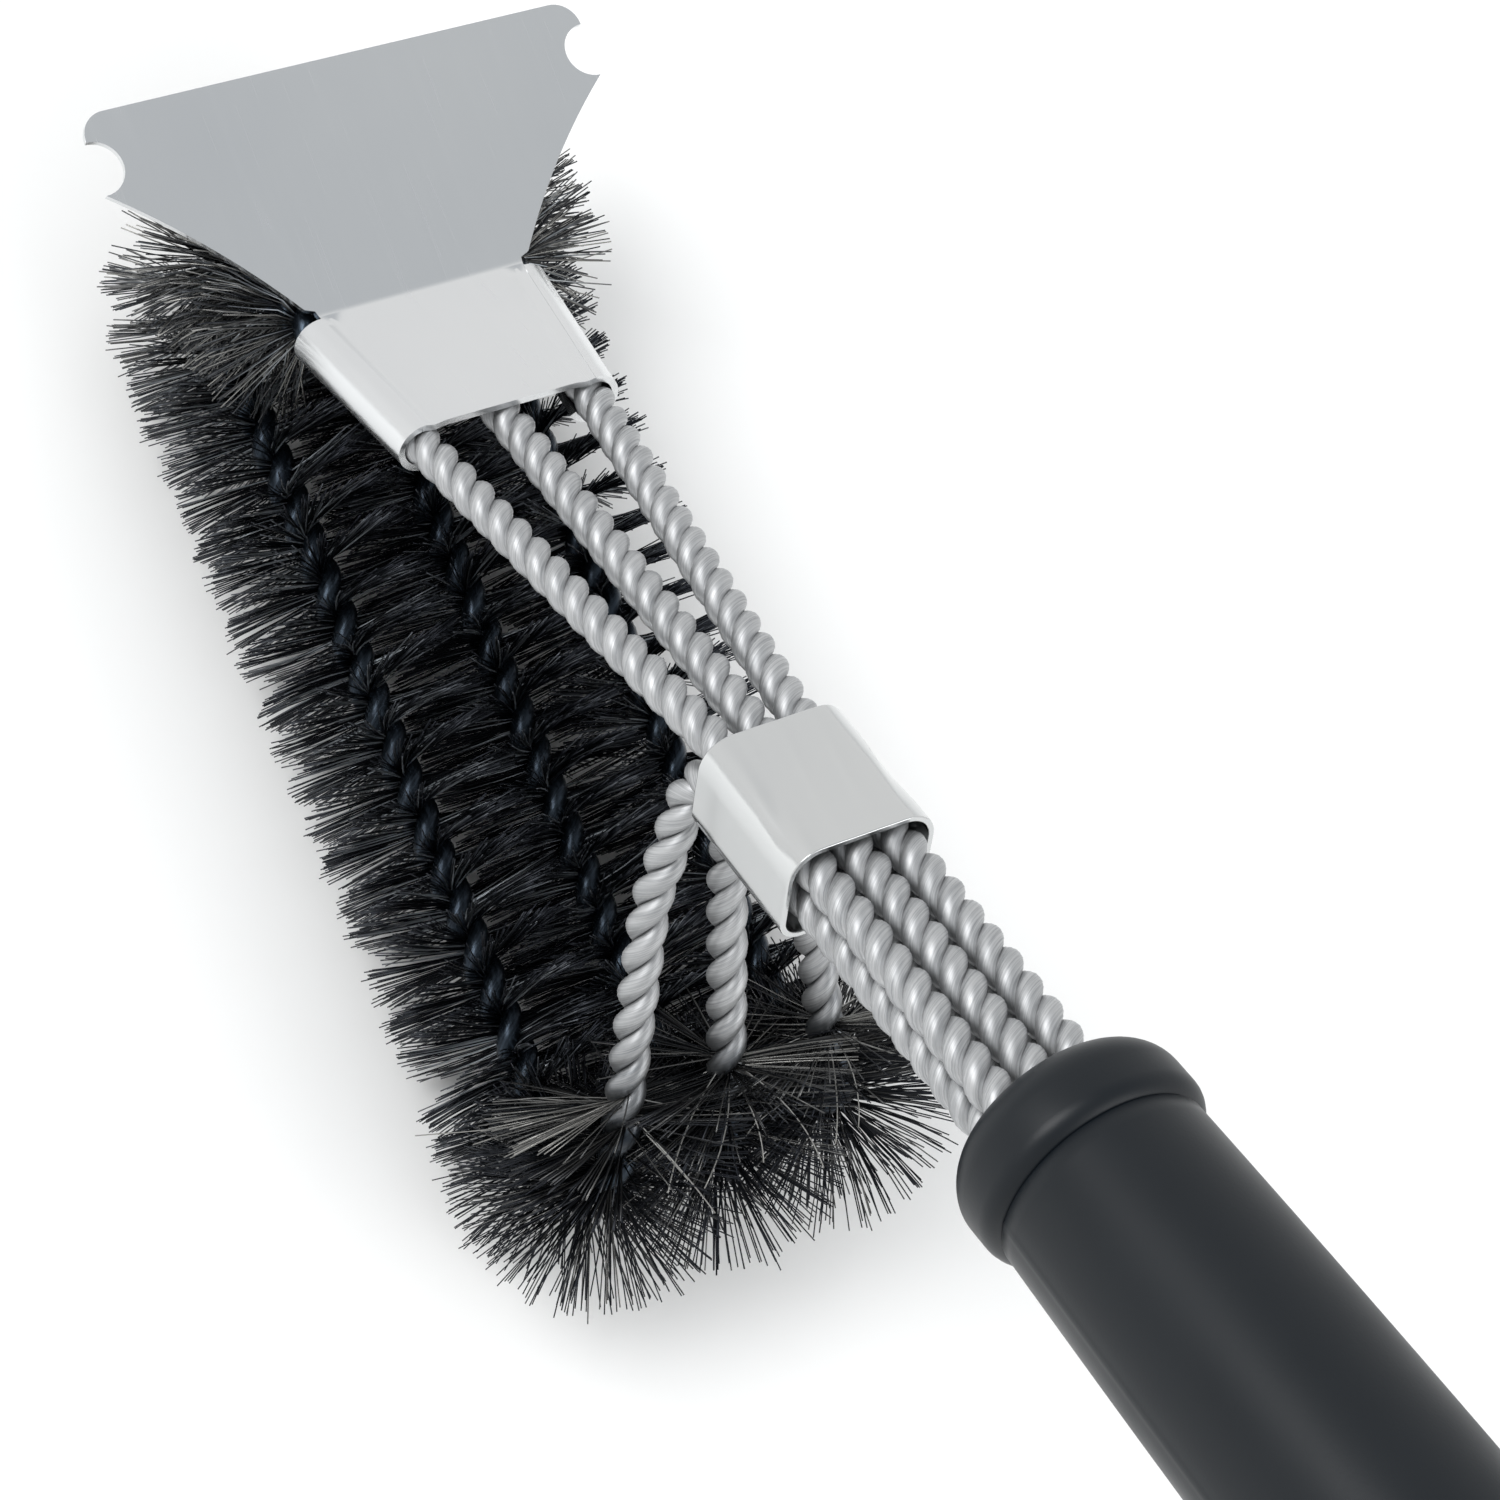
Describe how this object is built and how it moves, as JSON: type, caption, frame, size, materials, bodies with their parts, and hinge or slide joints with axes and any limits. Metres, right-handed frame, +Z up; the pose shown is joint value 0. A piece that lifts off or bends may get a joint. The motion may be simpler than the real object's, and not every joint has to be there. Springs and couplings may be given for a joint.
{
  "type": "grill cleaning brush",
  "caption": "Long-handled grill brush with three parallel twisted-wire bristle rows, a notched scraper blade on a folded sleeve, a collar round the stems and a swinging hanging loop.",
  "frame": {"origin": "on the surface that the bristles rest on, below the middle of the whole brush's box", "axes": "+X from the handle towards the scraper, +Y to the left, +Z up from the bristles to the handle"},
  "size_m": [0.4128, 0.0816, 0.2528],
  "materials": {
    "stainless_sheet": "satin",
    "polished_band": "polished",
    "twisted_wire": "satin",
    "dark_wire": "satin",
    "bristle_wire": "satin",
    "handle_plastic": "satin",
    "socket_nylon": "matte",
    "pin_steel": "satin",
    "loop_steel": "polished"
  },
  "bodies": {
    "brush": {"scraper": "stainless_sheet", "collar": "polished_band", "left_upper_run": "twisted_wire", "left_nose_bend": "twisted_wire", "left_row_core": "dark_wire", "left_riser": "twisted_wire", "left_lower_run": "twisted_wire", "left_bristles": "bristle_wire", "centre_upper_run": "twisted_wire", "centre_nose_bend": "twisted_wire", "centre_row_core": "dark_wire", "centre_riser": "twisted_wire", "centre_lower_run": "twisted_wire", "centre_bristles": "bristle_wire", "right_upper_run": "twisted_wire", "right_nose_bend": "twisted_wire", "right_row_core": "dark_wire", "right_riser": "twisted_wire", "right_lower_run": "twisted_wire", "right_bristles": "bristle_wire", "wire_socket": "socket_nylon", "front_ferrule": "handle_plastic", "grip": "handle_plastic", "socket_pin": "pin_steel", "end_cap": "handle_plastic"},
    "swing_loop": {"hang_loop": "loop_steel"}
  },
  "joints": [
    {"name": "loop_swing", "type": "hinge", "parent": "brush", "child": "swing_loop", "pos_m": [-0.20145, 0, 0.24684], "axis": [0, 1, 0], "range_deg": [-12, 250]}
  ]
}
